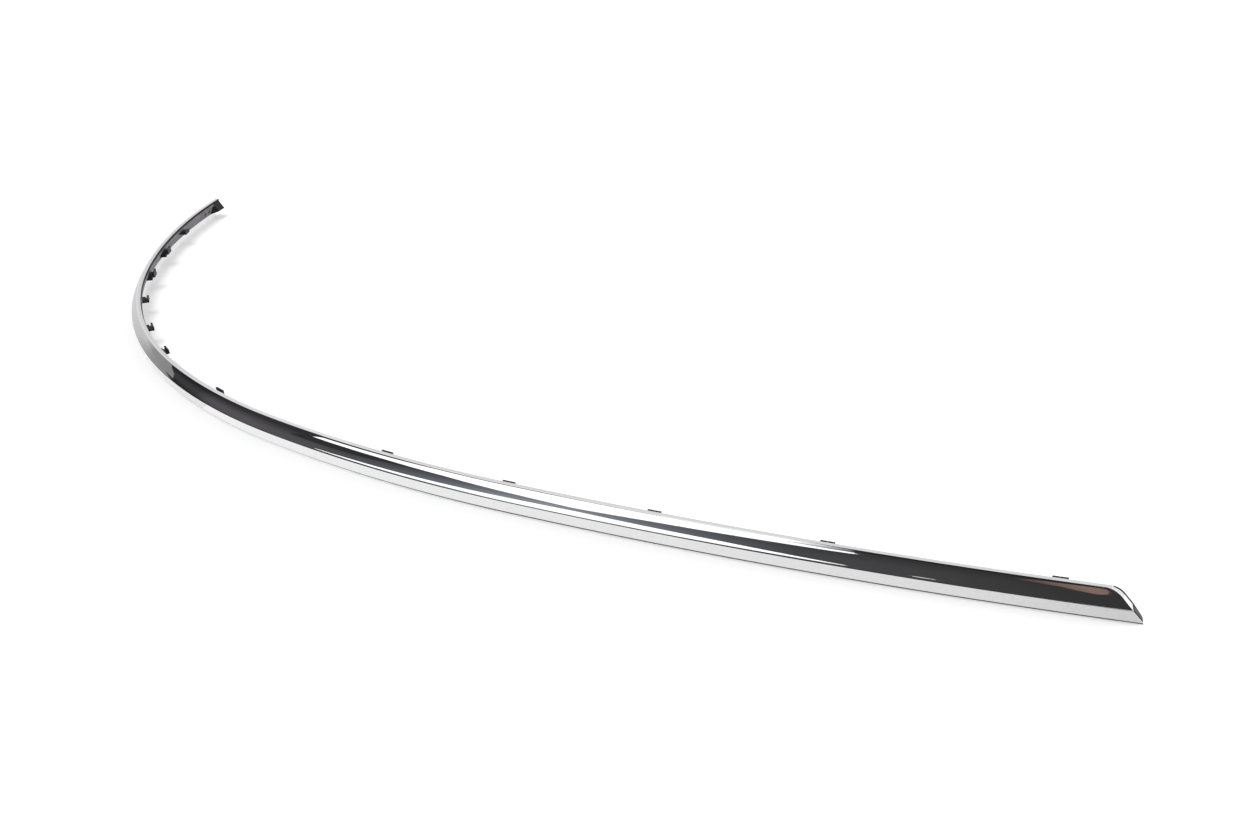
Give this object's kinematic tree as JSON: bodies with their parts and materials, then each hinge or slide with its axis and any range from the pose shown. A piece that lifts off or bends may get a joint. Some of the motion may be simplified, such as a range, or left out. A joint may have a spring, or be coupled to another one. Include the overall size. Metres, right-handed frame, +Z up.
{
  "type": "bumper chrome trim",
  "caption": "Curved bright bumper moulding with a sloping face, ridge and undercut lip, a pointed end, a dark carrier rail and snap clips behind.",
  "frame": {"origin": "on the floor, under the middle of the trim's whole plan", "axes": "+Z up, +X along the front leg towards the pointed end, +Y along the side leg towards the square end"},
  "size_m": [0.9201, 0.5046, 0.0204],
  "materials": {
    "chrome": "bright plated",
    "carrier_plastic": "moulded, matte",
    "clip_plastic": "moulded, satin"
  },
  "bodies": {
    "root": {"chrome_trim": "chrome", "carrier_strip": "carrier_plastic", "snap_clip_01": "clip_plastic", "snap_clip_02": "clip_plastic", "snap_clip_03": "clip_plastic", "snap_clip_04": "clip_plastic", "snap_clip_05": "clip_plastic", "snap_clip_06": "clip_plastic", "snap_clip_07": "clip_plastic", "snap_clip_08": "clip_plastic", "snap_clip_09": "clip_plastic", "snap_clip_10": "clip_plastic", "snap_clip_11": "clip_plastic", "snap_clip_12": "clip_plastic", "end_block": "clip_plastic"}
  },
  "joints": []
}
